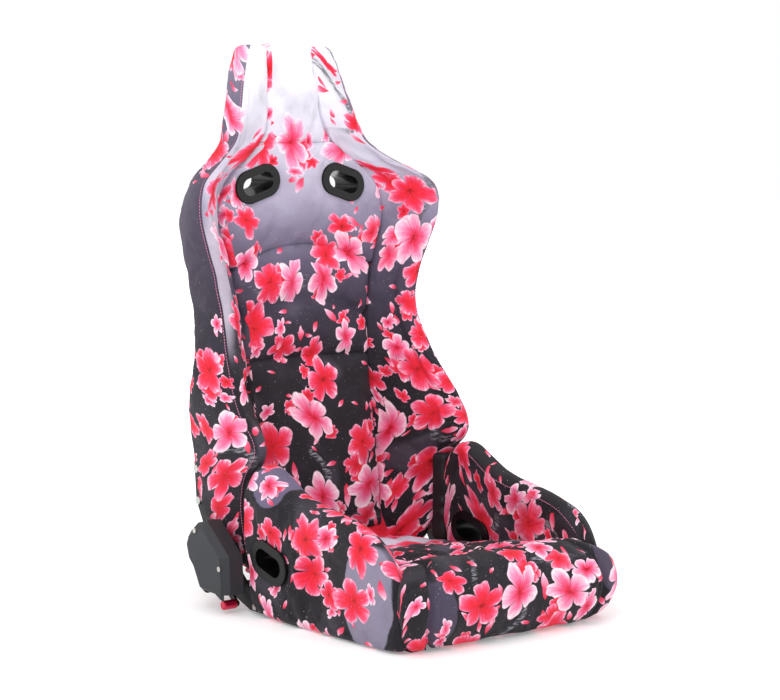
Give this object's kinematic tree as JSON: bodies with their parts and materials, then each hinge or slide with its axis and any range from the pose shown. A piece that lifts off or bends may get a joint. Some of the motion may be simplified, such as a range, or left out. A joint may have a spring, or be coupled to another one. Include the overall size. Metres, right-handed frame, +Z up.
{
  "type": "reclining sports seat",
  "caption": "Reclining bucket seat with padded wings and side bolsters, harness openings, hinge covers and a release lever under the cushion.",
  "frame": {"origin": "centre of the four mounting holes on the underside of the side rails", "axes": "+Z up, -Y the way the occupant faces, +X to the occupant's left"},
  "size_m": [0.564, 0.663, 0.93],
  "materials": {
    "printed_fabric": "stretch fabric printed with pink blossom over a white to black fade",
    "bezel_plastic": "semi-gloss black",
    "cover_plastic": "fine matt texture",
    "red_anodised": "red anodised",
    "shell_plastic": "fine leather grain",
    "bronze": "turned",
    "zinc_steel": "zinc plated",
    "frame_paint": "black powder coat"
  },
  "bodies": {
    "backrest": {"back_shell": "shell_plastic", "backrest_bottom_tube": "frame_paint", "backrest_top_tube": "frame_paint", "head_frame": "frame_paint", "headrest_pad": "printed_fabric", "hinge_spacers": "frame_paint", "lumbar_pad": "printed_fabric", "mid_pad": "printed_fabric", "sector_left": "frame_paint", "sector_right": "frame_paint", "shoulder_bezel_front_left": "bezel_plastic", "shoulder_bezel_front_right": "bezel_plastic", "shoulder_bezel_rear_left": "bezel_plastic", "shoulder_bezel_rear_right": "bezel_plastic", "side_tube_left": "frame_paint", "side_tube_right": "frame_paint", "spacer_bolts": "zinc_steel", "suspension_wires": "zinc_steel", "upper_pad": "printed_fabric", "upper_plate_left": "frame_paint", "upper_plate_right": "frame_paint", "wing_left": "printed_fabric", "wing_right": "printed_fabric"},
    "base": {"bracket_bolts": "zinc_steel", "cover_screws": "zinc_steel", "front_cross_tube": "frame_paint", "hinge_plate_left": "frame_paint", "hinge_plate_right": "frame_paint", "lap_bezel_inner_left": "bezel_plastic", "lap_bezel_inner_right": "bezel_plastic", "lap_bezel_outer_left": "bezel_plastic", "lap_bezel_outer_right": "bezel_plastic", "lever_springs": "zinc_steel", "mount_nuts": "zinc_steel", "nose_plate": "frame_paint", "nose_roll": "printed_fabric", "outrigger_left": "frame_paint", "outrigger_right": "frame_paint", "pivot_bolts": "zinc_steel", "pivot_bushes": "bronze", "rear_cross_tube": "frame_paint", "recliner_cover_left": "cover_plastic", "recliner_cover_right": "cover_plastic", "rod_bushes": "bronze", "seat_bolster_left": "printed_fabric", "seat_bolster_right": "printed_fabric", "seat_cushion": "printed_fabric", "seat_springs": "zinc_steel", "side_rail_left": "frame_paint", "side_rail_right": "frame_paint", "spiral_springs": "zinc_steel"},
    "release_lever": {"knob_screws": "zinc_steel", "lever_knob_left": "red_anodised", "lever_knob_right": "red_anodised", "pawl_left": "frame_paint", "pawl_right": "frame_paint", "release_lever_left": "frame_paint", "release_lever_right": "frame_paint", "release_rod": "frame_paint"}
  },
  "joints": [
    {"name": "recline", "type": "hinge", "parent": "base", "child": "backrest", "pos_m": [0, 0.212, 0.088], "axis": [-1, 0, 0], "range_deg": [-10, 45]},
    {"name": "release", "type": "hinge", "parent": "base", "child": "release_lever", "pos_m": [0, 0.196, 0.04], "axis": [-1, 0, 0], "range_deg": [0, 10], "stiffness_Nm_per_rad": 1.5, "springref_deg": -28.65}
  ]
}
